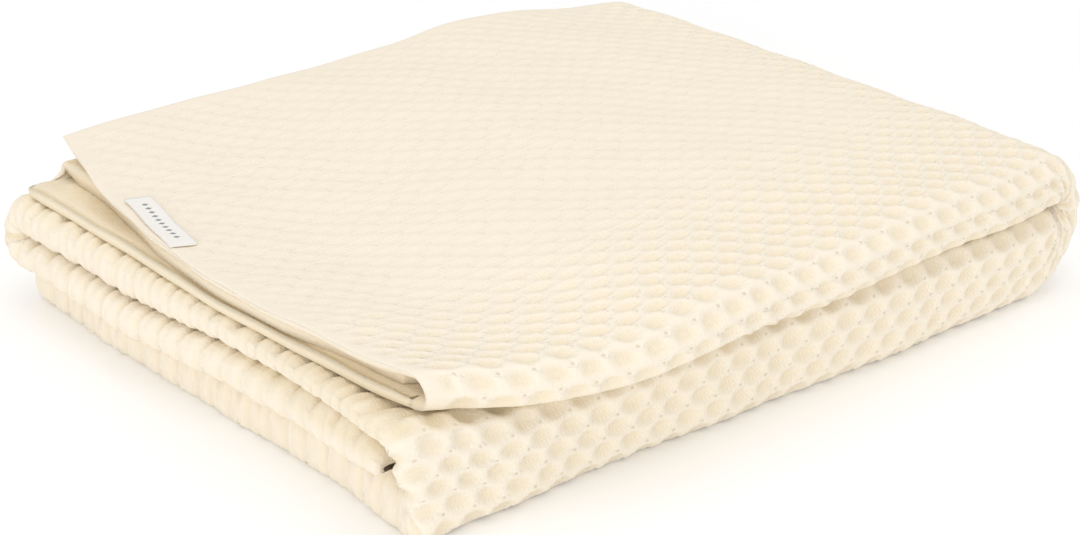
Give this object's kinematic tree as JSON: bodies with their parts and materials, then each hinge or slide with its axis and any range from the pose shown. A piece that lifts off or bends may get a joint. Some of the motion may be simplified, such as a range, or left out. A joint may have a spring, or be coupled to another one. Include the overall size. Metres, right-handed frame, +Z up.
{
  "type": "crib blanket",
  "caption": "Crib blanket of thick honeycomb knit, folded into a flat rectangular stack with rolled ends, with a small blank sewn label at one corner.",
  "frame": {"origin": "on the floor, under the folded blanket", "axes": "+X from the loose ends to the rounded nose, +Y from the near fold to the far edge, +Z up"},
  "size_m": [0.3422, 0.2813, 0.0663],
  "materials": {
    "cream_knit": "matt cotton knit",
    "white_woven": "smooth woven tape"
  },
  "bodies": {
    "root": {"blanket": "cream_knit", "label": "white_woven"}
  },
  "joints": []
}
